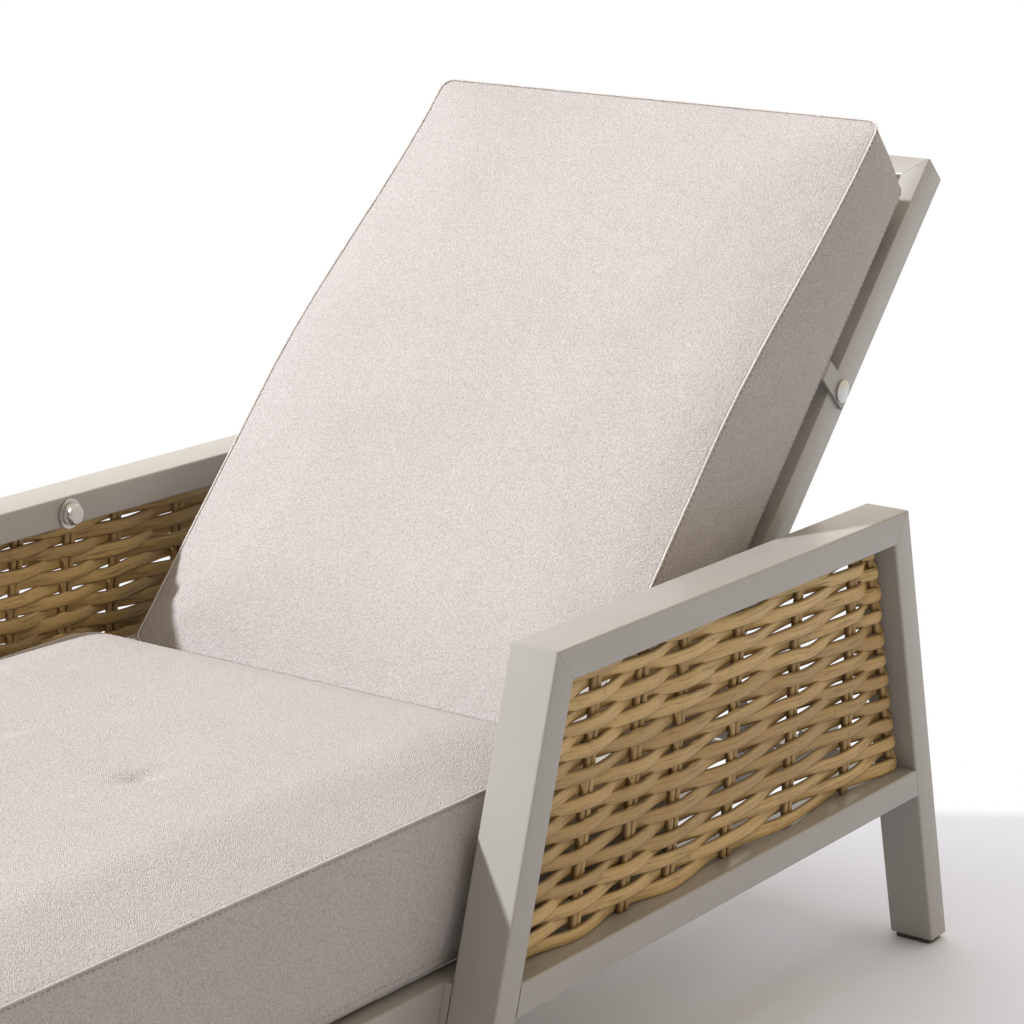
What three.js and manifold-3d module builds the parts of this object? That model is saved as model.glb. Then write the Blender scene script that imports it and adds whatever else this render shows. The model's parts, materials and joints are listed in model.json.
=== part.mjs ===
// Reclining sun lounger with woven armrest panels. Millimetres, +Z up.
// The foot end points to -Y and the head end to +Y. The origin is on the floor, under the middle
// of the lounger with its backrest raised.
import * as THREE from 'three';
import { mergeVertices } from 'three/addons/utils/BufferGeometryUtils.js';
import Module from 'manifold-3d';

const wasm = await Module();
wasm.setup();

// ---- driving dimensions ----
const OVERALL_WIDTH = 747;
const JOINT_GAP = 0.3; // paint and weld line between two pieces that touch
const HALF_GAP = JOINT_GAP / 2;
const WALL = 2; // wall of every aluminium tube
const TUBE_EDGE = 2.5; // outer corner radius of every tube
const ARC_STEPS = 3; // facets in a tube corner
const ROUND_STEPS = 24; // facets around a pin, hole or bolt

// armrest frames
const ARM_HEIGHT = 502;
const ARM_TOP_LENGTH = 635;
const ARM_TUBE_WIDTH = 50;
const LEG_LEAN = Math.tan(THREE.MathUtils.degToRad(15.28));
const LEG_RUN = 34.3; // leg size along Y, measured level
const TOP_RAIL_DEPTH = 31.8;
const LOWER_RAIL_TOP = 213.6;
const LOWER_RAIL_DEPTH = 30.6;
const GLIDE_HEIGHT = 6;
const PANEL_THICKNESS = 16;
const PANEL_CLEARANCE = 1.5;
const PANEL_REAR_GAP = 7; // the weave turns back before it reaches the rear leg
const ARM_BOLT_Y = 150;
const ARM_BOLT_DROP = TOP_RAIL_DEPTH / 2 + 2;
const WASHER = { radius: 15.5, thickness: 2.5 };
const GLIDE_INSET = 4; // the glides are this much smaller than the leg, all round

// base frame
const BASE_TOP = 212;
const BASE_RAIL = { width: 25.2, depth: 40 };
const BRACKET_THICKNESS = 7;
const HEAD_END_OF_BASE = 790;
const CROSS_BAR = { width: 25, depth: 40, top: 185 };
const SLAT = { width: 60, thickness: 12, count: 6, first: -760, pitch: 196 };
const FOOT_LEG_TOP_Y = -800;

// backrest, measured from its hinge: along the rails (s) and square to them (d)
const HINGE = { y: 321, z: 216 };
const RECLINE = THREE.MathUtils.degToRad(48);
const BACK_HALF_WIDTH = 268.5;
const BACK_RAIL = { width: 25, depth: 40 };
const BACK_LENGTH = 805.5;
const BACK_SUPPORT = 46; // the cushion rests this far in front of the hinge line
const BACK_SLAT = { width: 40, low: 12, places: [185, 350, 700] };
const BACK_FOOT_RAIL = { low: 35, high: 60, depth: 28 };
const STRAP = { thickness: 3, width: 22.7, s: 520.7, ear: -13 };
const STRAP_BOLT = { radius: 12, s: 522.2, d: 3 };

// prop: two arms as long as their pivots are far from the hinge, so the bar stays level
const PROP_LENGTH = 220;
const PROP_ARM = { width: 20, thickness: 8, outer: 236 };
const PROP_BAR_RADIUS = 8;
const RACK = { width: 20, outer: 220, low: 395, high: 790 };
const RACK_ANGLES = [0, 22, 36, 48, 55, 62]; // backrest angles with a notch, in degrees
const NOTCH = { depth: 7, bottom: 4, lead: 9.6, catch: 6.4 }; // sizes along Y from the bar's axis
const HINGE_PIN_RADIUS = 6;
const PROP_PIN_RADIUS = 5;
const PIN_CLEARANCE = 0.2;
const PIN_HEAD = 3;
const PIN_END_ROOM = 1; // a blind hole goes this much deeper than its pin
const HINGE_PIN_COVER = 5; // left of the hinge block beyond the pin's end
const PROP_PIN_REACH = 4; // how far the prop's pin goes into the rail

// cushions
const SEAT = { halfWidth: 298, low: -862, bottom: 213, top: 366, rearBottom: 284, rearTop: 322 };
// The backrest cushion's lower end is cut level with the seat at the steepest backrest angle.
const BACK_CUSHION = { halfWidth: 272, lowRear: 150, high: 758, rear: 47, front: 148 };
const BACK_CUSHION_HEEL = { s: 80, d: 178 }; // the lower front edge, where the cushion is thickest
const CUSHION_EDGE = 16;

// ---- worked out ----
const ARM_OUTER = OVERALL_WIDTH / 2;
const ARM_CENTRE = ARM_OUTER - ARM_TUBE_WIDTH / 2;
const ARM_INNER = ARM_OUTER - ARM_TUBE_WIDTH;
const BASE_OUTER = ARM_INNER - BRACKET_THICKNESS - 2 * JOINT_GAP;
const BASE_INNER = BASE_OUTER - BASE_RAIL.width;
const BASE_BOTTOM = BASE_TOP - BASE_RAIL.depth;
const LOWER_RAIL_BOTTOM = LOWER_RAIL_TOP - LOWER_RAIL_DEPTH;
const HEAD_REACH = HINGE.y + BACK_LENGTH * Math.cos(RECLINE) + BACK_RAIL.depth / 2 * Math.sin(RECLINE);
const FOOT_END = -HEAD_REACH; // the origin lies midway between foot end and raised head end

// ---- materials ----
const paint = new THREE.MeshStandardMaterial({ color: 0x9b9488, roughness: 0.45, metalness: 0.35 });
const fabric = new THREE.MeshStandardMaterial({ color: 0xd9d0c7, roughness: 0.95, metalness: 0 });
const wicker = new THREE.MeshStandardMaterial({ color: 0xb08a55, roughness: 0.6, metalness: 0 });
const steel = new THREE.MeshStandardMaterial({ color: 0xa9a9a9, roughness: 0.35, metalness: 0.9 });
const plastic = new THREE.MeshStandardMaterial({ color: 0x4a453d, roughness: 0.7, metalness: 0 });

// ---- solids ----
function toManifold(geometry) {
  const bare = geometry.clone();
  bare.deleteAttribute('normal');
  bare.deleteAttribute('uv');
  const merged = mergeVertices(bare, 1e-4);
  const mesh = new wasm.Mesh({
    numProp: 3,
    vertProperties: new Float32Array(merged.attributes.position.array),
    triVerts: new Uint32Array(merged.index.array),
  });
  return new wasm.Manifold(mesh);
}

function toGeometry(manifold) {
  const mesh = manifold.getMesh();
  const geometry = new THREE.BufferGeometry();
  geometry.setAttribute('position', new THREE.BufferAttribute(new Float32Array(mesh.vertProperties), 3));
  geometry.setIndex(new THREE.BufferAttribute(new Uint32Array(mesh.triVerts), 1));
  geometry.computeVertexNormals();
  return geometry;
}

function subtract(geometry, ...tools) {
  let result = toManifold(geometry);
  for (const tool of tools) result = result.subtract(toManifold(tool));
  return toGeometry(result);
}

function roundedRectangle(width, height, radius) {
  const x = width / 2;
  const y = height / 2;
  const shape = new THREE.Shape();
  shape.moveTo(-x + radius, -y);
  shape.lineTo(x - radius, -y);
  shape.absarc(x - radius, -y + radius, radius, -Math.PI / 2, 0);
  shape.lineTo(x, y - radius);
  shape.absarc(x - radius, y - radius, radius, 0, Math.PI / 2);
  shape.lineTo(-x + radius, y);
  shape.absarc(-x + radius, y - radius, radius, Math.PI / 2, Math.PI);
  shape.lineTo(-x, -y + radius);
  shape.absarc(-x + radius, -y + radius, radius, Math.PI, 1.5 * Math.PI);
  return shape;
}

// A section extruded along +Z between two end planes, each z = at + slope * y.
function prism(section, low, high) {
  const geometry = new THREE.ExtrudeGeometry(section, {
    depth: 1,
    bevelEnabled: false,
    curveSegments: ARC_STEPS,
  });
  const position = geometry.attributes.position;
  for (let i = 0; i < position.count; i += 1) {
    const end = position.getZ(i) > 0.5 ? high : low;
    position.setZ(i, end.at + end.slope * position.getY(i));
  }
  geometry.computeVertexNormals();
  return geometry;
}

// An outline drawn in the (Y, Z) plane, extruded along X from one place to another.
function sideExtrude(outline, from, to, options = {}) {
  const geometry = new THREE.ExtrudeGeometry(outline, {
    depth: to - from,
    bevelEnabled: false,
    curveSegments: ROUND_STEPS / 2,
    ...options,
  });
  geometry.translate(0, 0, from);
  geometry.applyMatrix4(new THREE.Matrix4().makeBasis(ALONG_Y, ALONG_Z, ALONG_X));
  return geometry;
}

// A cylinder along X between two places, for pins, holes and bolt heads.
function rod(radius, from, to, y = 0, z = 0) {
  const geometry = new THREE.CylinderGeometry(radius, radius, Math.abs(to - from), ROUND_STEPS);
  geometry.rotateZ(Math.PI / 2);
  geometry.translate((from + to) / 2, y, z);
  return geometry;
}

function named(parent, name, geometry, material) {
  const mesh = new THREE.Mesh(geometry, material.clone());
  mesh.name = name;
  parent.add(mesh);
  return mesh;
}

const point = (x, y, z) => new THREE.Vector3(x, y, z);
const ALONG_X = point(1, 0, 0);
const ALONG_Y = point(0, 1, 0);
const ALONG_Z = point(0, 0, 1);

// A box tube from one point to another. flat is the direction that its end cuts run square to;
// width is the tube's size along flat, depth its size across it. Each cut is a pair of points
// that the cut passes through. A closed end keeps its wall, an open one shows the hollow.
function tube(parent, name, options) {
  const { from, to, flat, width, depth, closed = [false, false] } = options;
  const axis = to.clone().sub(from).normalize();
  const across = axis.clone().cross(flat);
  const basis = new THREE.Matrix4().makeBasis(flat, across, axis);
  const plane = (cut, fallback, inset) => {
    if (!cut) return { at: fallback + inset, slope: 0 };
    const [a, b] = cut.map((p) => {
      const relative = p.clone().sub(from);
      return { y: relative.dot(across), z: relative.dot(axis) };
    });
    const slope = (b.z - a.z) / (b.y - a.y);
    return { at: a.z - slope * a.y + inset, slope };
  };
  const low = plane(options.cutLow, 0, HALF_GAP);
  const high = plane(options.cutHigh, from.distanceTo(to), -HALF_GAP);
  const outer = prism(roundedRectangle(width, depth, TUBE_EDGE), low, high);
  const past = WALL * 4;
  const bore = prism(
    roundedRectangle(width - 2 * WALL, depth - 2 * WALL, TUBE_EDGE / 4),
    { at: low.at + (closed[0] || -past), slope: low.slope },
    { at: high.at - (closed[1] || -past), slope: high.slope },
  );
  const mesh = named(parent, name, subtract(outer, bore), paint);
  mesh.position.copy(from);
  mesh.quaternion.setFromRotationMatrix(basis);
  return mesh;
}

// ---- armrests ----
// The front face of the front leg at a height; the rear leg mirrors it.
const legFront = (z) => -(ARM_HEIGHT - z) * LEG_LEAN;
const legRear = (z) => ARM_TOP_LENGTH - legFront(z);

function armFrame(parent, side, sign) {
  const x = sign * ARM_CENTRE;
  const topUnderside = ARM_HEIGHT - TOP_RAIL_DEPTH;
  const innerFront = (z) => legFront(z) + LEG_RUN;
  const innerRear = (z) => legRear(z) - LEG_RUN;
  const leanAngle = Math.atan(LEG_LEAN);
  const legDepth = LEG_RUN * Math.cos(leanAngle);
  const frontMitre = [point(x, 0, ARM_HEIGHT), point(x, innerFront(topUnderside), topUnderside)];
  const rearMitre = [
    point(x, ARM_TOP_LENGTH, ARM_HEIGHT),
    point(x, innerRear(topUnderside), topUnderside),
  ];
  const topMiddle = ARM_HEIGHT - TOP_RAIL_DEPTH / 2;
  tube(parent, `arm_top_rail_${side}`, {
    from: point(x, 0, topMiddle),
    to: point(x, ARM_TOP_LENGTH, topMiddle),
    flat: ALONG_X,
    width: ARM_TUBE_WIDTH,
    depth: TOP_RAIL_DEPTH,
    cutLow: frontMitre,
    cutHigh: rearMitre,
  });
  const legs = [
    { name: `arm_front_leg_${side}`, middle: (z) => legFront(z) + LEG_RUN / 2, mitre: frontMitre },
    { name: `arm_rear_leg_${side}`, middle: (z) => legRear(z) - LEG_RUN / 2, mitre: rearMitre },
  ];
  for (const leg of legs) {
    tube(parent, leg.name, {
      from: point(x, leg.middle(GLIDE_HEIGHT), GLIDE_HEIGHT),
      to: point(x, leg.middle(ARM_HEIGHT), ARM_HEIGHT),
      flat: ALONG_X,
      width: ARM_TUBE_WIDTH,
      depth: legDepth,
      cutLow: [point(x, -1, GLIDE_HEIGHT), point(x, 1, GLIDE_HEIGHT)],
      cutHigh: leg.mitre,
      closed: [WALL, 0],
    });
  }
  const lowerMiddle = LOWER_RAIL_TOP - LOWER_RAIL_DEPTH / 2;
  tube(parent, `arm_lower_rail_${side}`, {
    from: point(x, innerFront(lowerMiddle), lowerMiddle),
    to: point(x, innerRear(lowerMiddle), lowerMiddle),
    flat: ALONG_X,
    width: ARM_TUBE_WIDTH,
    depth: LOWER_RAIL_DEPTH,
    cutLow: [
      point(x, innerFront(LOWER_RAIL_TOP), LOWER_RAIL_TOP),
      point(x, innerFront(LOWER_RAIL_BOTTOM), LOWER_RAIL_BOTTOM),
    ],
    cutHigh: [
      point(x, innerRear(LOWER_RAIL_TOP), LOWER_RAIL_TOP),
      point(x, innerRear(LOWER_RAIL_BOTTOM), LOWER_RAIL_BOTTOM),
    ],
  });
  wickerPanel(parent, side, x, innerFront, innerRear, topUnderside);
}

// The woven panel as the slab that its strands fill.
function wickerPanel(parent, side, x, innerFront, innerRear, topUnderside) {
  const high = topUnderside - PANEL_CLEARANCE;
  const low = LOWER_RAIL_TOP + PANEL_CLEARANCE;
  const outline = new THREE.Shape([
    new THREE.Vector2(innerFront(low) + PANEL_CLEARANCE, low),
    new THREE.Vector2(innerRear(low) - PANEL_REAR_GAP, low),
    new THREE.Vector2(innerRear(high) - PANEL_REAR_GAP, high),
    new THREE.Vector2(innerFront(high) + PANEL_CLEARANCE, high),
  ]);
  const geometry = sideExtrude(outline, -PANEL_THICKNESS / 2, PANEL_THICKNESS / 2);
  named(parent, `wicker_panel_${side}`, geometry, wicker).position.x = x;
}

function glide(parent, name, x, y) {
  const pad = roundedRectangle(
    ARM_TUBE_WIDTH - 2 * GLIDE_INSET,
    LEG_RUN - 2 * GLIDE_INSET,
    GLIDE_INSET,
  );
  const mesh = named(
    parent,
    name,
    prism(pad, { at: 0, slope: 0 }, { at: GLIDE_HEIGHT - JOINT_GAP, slope: 0 }),
    plastic,
  );
  mesh.position.set(x, y, 0);
}

// A washer and a domed bolt on the inner face of the armrest's top rail.
function armBolt(parent, side, sign) {
  const z = ARM_HEIGHT - ARM_BOLT_DROP;
  const washerX = ARM_INNER - JOINT_GAP - WASHER.thickness / 2;
  const washer = rod(WASHER.radius, -WASHER.thickness / 2, WASHER.thickness / 2);
  named(parent, `arm_washer_${side}`, washer, steel).position.set(sign * washerX, ARM_BOLT_Y, z);
  const head = new THREE.LatheGeometry(
    [[0, 0], [12, 0], [12, 3], [10.5, 3.6], [10.5, 7], [9, 9], [0, 9.6]].map(
      ([r, h]) => new THREE.Vector2(r, h),
    ),
    ROUND_STEPS,
  );
  head.rotateZ(sign * Math.PI / 2);
  const headMesh = named(parent, `arm_bolt_${side}`, head, steel);
  headMesh.position.set(sign * (ARM_INNER - 2 * JOINT_GAP - WASHER.thickness), ARM_BOLT_Y, z);
}

// The plate that joins a leg's inner face to the base rail, leaning with the leg.
function bracket(parent, name, sign, face, direction) {
  const low = BASE_BOTTOM;
  const high = BASE_TOP;
  const outline = new THREE.Shape([
    new THREE.Vector2(face(low), low),
    new THREE.Vector2(face(low) + direction * LEG_RUN, low),
    new THREE.Vector2(face(high) + direction * LEG_RUN, high),
    new THREE.Vector2(face(high), high),
  ]);
  const geometry = sideExtrude(outline, -BRACKET_THICKNESS / 2, BRACKET_THICKNESS / 2);
  const mesh = named(parent, name, geometry, paint);
  mesh.position.x = sign * (ARM_INNER - JOINT_GAP - BRACKET_THICKNESS / 2);
}

// ---- base ----
function baseFrame(parent) {
  const middle = BASE_TOP - BASE_RAIL.depth / 2;
  for (const [side, sign] of [['left', 1], ['right', -1]]) {
    const x = sign * (BASE_OUTER - BASE_RAIL.width / 2);
    tube(parent, `side_rail_${side}`, {
      from: point(x, FOOT_END, middle),
      to: point(x, HEAD_END_OF_BASE, middle),
      flat: ALONG_Z,
      width: BASE_RAIL.depth,
      depth: BASE_RAIL.width,
      cutLow: [
        point(sign * BASE_OUTER, FOOT_END, middle),
        point(sign * BASE_INNER, FOOT_END + BASE_RAIL.width, middle),
      ],
      closed: [0, WALL],
    });
    footLeg(parent, side, sign);
  }
  tube(parent, 'foot_rail', {
    from: point(-BASE_OUTER, FOOT_END + BASE_RAIL.width / 2, middle),
    to: point(BASE_OUTER, FOOT_END + BASE_RAIL.width / 2, middle),
    flat: ALONG_Z,
    width: BASE_RAIL.depth,
    depth: BASE_RAIL.width,
    cutLow: [
      point(-BASE_OUTER, FOOT_END, middle),
      point(-BASE_INNER, FOOT_END + BASE_RAIL.width, middle),
    ],
    cutHigh: [
      point(BASE_OUTER, FOOT_END, middle),
      point(BASE_INNER, FOOT_END + BASE_RAIL.width, middle),
    ],
  });
  crossTube(parent, 'cross_bar_middle', RACK.low, CROSS_BAR.top);
  crossTube(parent, 'cross_bar_head', RACK.high - CROSS_BAR.width, CROSS_BAR.top);
  for (let i = 0; i < SLAT.count; i += 1) seatSlat(parent, i);
}

function crossTube(parent, name, low, top) {
  const y = low + CROSS_BAR.width / 2;
  const z = top - CROSS_BAR.depth / 2;
  tube(parent, name, {
    from: point(-BASE_INNER, y, z),
    to: point(BASE_INNER, y, z),
    flat: ALONG_Z,
    width: CROSS_BAR.depth,
    depth: CROSS_BAR.width,
  });
}

function seatSlat(parent, index) {
  const y = SLAT.first + index * SLAT.pitch;
  const z = BASE_TOP - SLAT.thickness / 2;
  tube(parent, `seat_slat_${index + 1}`, {
    from: point(-BASE_INNER, y, z),
    to: point(BASE_INNER, y, z),
    flat: ALONG_Z,
    width: SLAT.thickness,
    depth: SLAT.width,
  });
}

function footLeg(parent, side, sign) {
  const x = sign * (BASE_OUTER - ARM_TUBE_WIDTH / 2);
  const middle = (z) => FOOT_LEG_TOP_Y + LEG_RUN / 2 - (BASE_BOTTOM - z) * LEG_LEAN;
  tube(parent, `foot_leg_${side}`, {
    from: point(x, middle(GLIDE_HEIGHT), GLIDE_HEIGHT),
    to: point(x, middle(BASE_BOTTOM), BASE_BOTTOM),
    flat: ALONG_X,
    width: ARM_TUBE_WIDTH,
    depth: LEG_RUN * Math.cos(Math.atan(LEG_LEAN)),
    cutLow: [point(x, -1, GLIDE_HEIGHT), point(x, 1, GLIDE_HEIGHT)],
    cutHigh: [point(x, -1, BASE_BOTTOM), point(x, 1, BASE_BOTTOM)],
    closed: [0, WALL],
  });
  glide(parent, `foot_glide_${side}`, x, middle(GLIDE_HEIGHT));
}

// The block on the base rail's inner face that carries the backrest's hinge pin.
function hingeBlock(parent, side, sign) {
  const radius = BACK_RAIL.depth / 2;
  const outer = BASE_INNER - JOINT_GAP;
  const inner = BACK_HALF_WIDTH + JOINT_GAP * 2;
  const outline = new THREE.Shape();
  outline.moveTo(-radius, BASE_BOTTOM - HINGE.z);
  outline.lineTo(radius, BASE_BOTTOM - HINGE.z);
  outline.lineTo(radius, 0);
  outline.absarc(0, 0, radius, 0, Math.PI);
  const block = sideExtrude(outline, inner, outer);
  const pinEnd = outer - HINGE_PIN_COVER;
  const hole = rod(HINGE_PIN_RADIUS + PIN_CLEARANCE, inner - 1, pinEnd + PIN_END_ROOM);
  const mesh = named(parent, `hinge_block_${side}`, mirrored(subtract(block, hole), sign), paint);
  mesh.position.set(0, HINGE.y, HINGE.z);
  pin(parent, `hinge_pin_${side}`, sign, {
    radius: HINGE_PIN_RADIUS,
    head: BACK_HALF_WIDTH - BACK_RAIL.width - JOINT_GAP,
    end: pinEnd,
    y: HINGE.y,
    z: HINGE.z,
  });
}

// Parts are drawn for the +X side; the other side is the mirror image.
function mirrored(geometry, sign) {
  if (sign > 0) return geometry;
  geometry.scale(-1, 1, 1);
  const index = geometry.index.array;
  for (let i = 0; i < index.length; i += 3) {
    const kept = index[i];
    index[i] = index[i + 1];
    index[i + 1] = kept;
  }
  return geometry;
}

// A headed pin along X: the head is inboard of `head`, the shank ends at `end`.
function pin(parent, name, sign, { radius, head, end, y, z }) {
  const profile = [
    [0, 0],
    [radius * 1.6, 0],
    [radius * 1.7, 0.8],
    [radius * 1.7, PIN_HEAD],
    [radius, PIN_HEAD],
    [radius, PIN_HEAD + end - head],
    [0, PIN_HEAD + end - head],
  ];
  const geometry = new THREE.LatheGeometry(
    profile.map(([r, h]) => new THREE.Vector2(r, h)),
    ROUND_STEPS,
  );
  geometry.rotateZ(-Math.PI / 2);
  geometry.translate(head - PIN_HEAD, 0, 0);
  const mesh = named(parent, name, mirrored(mergeVertices(geometry), sign), steel);
  mesh.position.set(0, y, z);
}

// ---- backrest: s runs along +Y and d along +Z of a group that is turned about the hinge ----
function backFrame(parent) {
  const inner = BACK_HALF_WIDTH - BACK_RAIL.width;
  for (const [side, sign] of [['left', 1], ['right', -1]]) backRail(parent, side, sign, inner);
  tube(parent, 'back_top_rail', {
    from: point(-BACK_HALF_WIDTH, BACK_LENGTH - BACK_RAIL.width / 2, 0),
    to: point(BACK_HALF_WIDTH, BACK_LENGTH - BACK_RAIL.width / 2, 0),
    flat: ALONG_Z,
    width: BACK_RAIL.depth,
    depth: BACK_RAIL.width,
    cutLow: [
      point(-BACK_HALF_WIDTH, BACK_LENGTH, 0),
      point(-inner, BACK_LENGTH - BACK_RAIL.width, 0),
    ],
    cutHigh: [point(BACK_HALF_WIDTH, BACK_LENGTH, 0), point(inner, BACK_LENGTH - BACK_RAIL.width, 0)],
  });
  tube(parent, 'back_foot_rail', {
    from: point(-inner, (BACK_FOOT_RAIL.low + BACK_FOOT_RAIL.high) / 2, 0),
    to: point(inner, (BACK_FOOT_RAIL.low + BACK_FOOT_RAIL.high) / 2, 0),
    flat: ALONG_Z,
    width: BACK_FOOT_RAIL.depth,
    depth: BACK_FOOT_RAIL.high - BACK_FOOT_RAIL.low,
  });
  BACK_SLAT.places.forEach((s, i) => {
    const depth = BACK_SUPPORT - BACK_SLAT.low;
    tube(parent, `back_slat_${i + 1}`, {
      from: point(-inner, s, BACK_SUPPORT - depth / 2),
      to: point(inner, s, BACK_SUPPORT - depth / 2),
      flat: ALONG_Z,
      width: depth,
      depth: BACK_SLAT.width,
    });
  });
}

// A side rail: round at the hinge, mitred at the top, hollow above a solid lower end.
function backRail(parent, side, sign, inner) {
  const radius = BACK_RAIL.depth / 2;
  const solidEnd = 25;
  const bevel = 1.5;
  const outline = new THREE.Shape();
  outline.moveTo(0, radius);
  outline.absarc(0, 0, radius, Math.PI / 2, 1.5 * Math.PI);
  outline.lineTo(BACK_LENGTH, -radius);
  outline.lineTo(BACK_LENGTH, radius);
  outline.closePath();
  const outer = sideExtrude(outline, inner + bevel, BACK_HALF_WIDTH - bevel, {
    bevelEnabled: true,
    bevelThickness: bevel,
    bevelSize: bevel,
    bevelOffset: -bevel,
    bevelSegments: 2,
  });
  const bore = new THREE.BoxGeometry(
    BACK_RAIL.width - 2 * WALL,
    BACK_LENGTH,
    BACK_RAIL.depth - 2 * WALL,
  );
  bore.translate(inner + BACK_RAIL.width / 2, solidEnd + BACK_LENGTH / 2, 0);
  const mitreSize = BACK_RAIL.width * 3;
  const mitre = new THREE.BoxGeometry(mitreSize * 2, mitreSize, BACK_RAIL.depth * 2);
  mitre.translate(0, mitreSize / 2, 0);
  mitre.rotateZ(Math.PI / 4);
  mitre.translate(BACK_HALF_WIDTH, BACK_LENGTH - JOINT_GAP, 0);
  const hingeHole = rod(HINGE_PIN_RADIUS + PIN_CLEARANCE, inner - 1, BACK_HALF_WIDTH + 1);
  const propHole = rod(
    PROP_PIN_RADIUS + PIN_CLEARANCE,
    inner - 1,
    inner + PROP_PIN_REACH + PIN_END_ROOM,
    PROP_LENGTH,
  );
  const rail = subtract(outer, bore, mitre, hingeHole, propHole);
  named(parent, `back_rail_${side}`, mirrored(rail, sign), paint);
}

// A flat strap over the front of the rails, its ears turned down outside them.
function backStrap(parent) {
  const outer = BACK_HALF_WIDTH + JOINT_GAP + STRAP.thickness;
  const inner = BACK_HALF_WIDTH + JOINT_GAP;
  const under = BACK_SUPPORT - STRAP.thickness;
  const bend = 4;
  const outline = new THREE.Shape();
  outline.moveTo(-outer, STRAP.ear);
  outline.lineTo(-inner, STRAP.ear);
  outline.lineTo(-inner, under);
  outline.lineTo(inner, under);
  outline.lineTo(inner, STRAP.ear);
  outline.lineTo(outer, STRAP.ear);
  outline.lineTo(outer, BACK_SUPPORT - bend);
  outline.absarc(outer - bend, BACK_SUPPORT - bend, bend, 0, Math.PI / 2);
  outline.absarc(-outer + bend, BACK_SUPPORT - bend, bend, Math.PI / 2, Math.PI);
  const geometry = new THREE.ExtrudeGeometry(outline, {
    depth: STRAP.width,
    bevelEnabled: false,
    curveSegments: ARC_STEPS,
  });
  geometry.rotateX(Math.PI / 2);
  geometry.translate(0, STRAP.s + STRAP.width / 2, 0);
  named(parent, 'back_strap', geometry, paint);
  for (const [side, sign] of [['left', 1], ['right', -1]]) {
    const profile = [[0, 0], [STRAP_BOLT.radius, 0], [STRAP_BOLT.radius, 2.2], [8, 4.2], [0, 4.8]];
    const head = new THREE.LatheGeometry(
      profile.map(([r, h]) => new THREE.Vector2(r, h)),
      ROUND_STEPS,
    );
    head.rotateZ(-sign * Math.PI / 2);
    const mesh = named(parent, `strap_bolt_${side}`, head, steel);
    mesh.position.set(sign * (outer + JOINT_GAP), STRAP_BOLT.s, STRAP_BOLT.d);
  }
}

// ---- prop and racks ----
const propFootY = (angle) => HINGE.y + 2 * PROP_LENGTH * Math.cos(angle);

function prop(parent) {
  const pivot = point(
    0,
    HINGE.y + PROP_LENGTH * Math.cos(RECLINE),
    HINGE.z + PROP_LENGTH * Math.sin(RECLINE),
  );
  const group = new THREE.Group();
  group.position.copy(pivot);
  group.rotation.x = -RECLINE;
  parent.add(group);
  const armInner = PROP_ARM.outer - PROP_ARM.thickness;
  for (const [side, sign] of [['left', 1], ['right', -1]]) {
    const half = PROP_ARM.width / 2;
    const outline = new THREE.Shape();
    outline.absarc(0, 0, half, Math.PI / 2, 1.5 * Math.PI);
    outline.absarc(PROP_LENGTH, 0, half, -Math.PI / 2, Math.PI / 2);
    const plate = sideExtrude(outline, armInner, PROP_ARM.outer);
    const hole = rod(PROP_PIN_RADIUS + PIN_CLEARANCE, armInner - 1, PROP_ARM.outer + 1);
    named(group, `prop_arm_${side}`, mirrored(subtract(plate, hole), sign), paint);
  }
  const bar = rod(PROP_BAR_RADIUS, -armInner + JOINT_GAP, armInner - JOINT_GAP);
  const barMesh = named(group, 'prop_bar', bar, steel);
  barMesh.position.y = PROP_LENGTH;
}

// A notched bar under each end of the prop bar. The bar passes just above the tips.
function rack(parent, side, sign) {
  const low = CROSS_BAR.top + JOINT_GAP;
  const high = HINGE.z - PROP_BAR_RADIUS - 2 * JOINT_GAP;
  const outline = new THREE.Shape();
  outline.moveTo(RACK.low, low);
  outline.lineTo(RACK.high, low);
  outline.lineTo(RACK.high, high);
  for (const degrees of RACK_ANGLES) {
    const y = propFootY(THREE.MathUtils.degToRad(degrees));
    outline.lineTo(y + NOTCH.lead, high);
    outline.lineTo(y + NOTCH.bottom, high - NOTCH.depth);
    outline.lineTo(y - NOTCH.bottom, high - NOTCH.depth);
    outline.lineTo(y - NOTCH.catch, high);
  }
  outline.lineTo(RACK.low, high);
  const geometry = sideExtrude(outline, -RACK.width / 2, RACK.width / 2);
  named(parent, `rack_${side}`, geometry, paint).position.x = sign * (RACK.outer - RACK.width / 2);
}

// ---- cushions: side outlines given a rounded edge all round ----
function cushion(parent, name, outline, halfWidth) {
  const geometry = sideExtrude(outline, -halfWidth + CUSHION_EDGE, halfWidth - CUSHION_EDGE, {
    bevelEnabled: true,
    bevelThickness: CUSHION_EDGE,
    bevelSize: CUSHION_EDGE,
    bevelOffset: -CUSHION_EDGE,
    bevelSegments: 3,
    curveSegments: 3,
  });
  return named(parent, name, geometry, fabric);
}

function seatCushion(parent) {
  const outline = new THREE.Shape([
    new THREE.Vector2(SEAT.low, SEAT.bottom),
    new THREE.Vector2(SEAT.rearBottom, SEAT.bottom),
    new THREE.Vector2(SEAT.rearTop, SEAT.top),
    new THREE.Vector2(SEAT.low, SEAT.top),
  ]);
  cushion(parent, 'seat_cushion', outline, SEAT.halfWidth);
}

function backCushion(parent) {
  const outline = new THREE.Shape([
    new THREE.Vector2(BACK_CUSHION.lowRear, BACK_CUSHION.rear),
    new THREE.Vector2(BACK_CUSHION.high, BACK_CUSHION.rear),
    new THREE.Vector2(BACK_CUSHION.high, BACK_CUSHION.front),
    new THREE.Vector2(BACK_CUSHION_HEEL.s, BACK_CUSHION_HEEL.d),
  ]);
  cushion(parent, 'back_cushion', outline, BACK_CUSHION.halfWidth);
}

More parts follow.
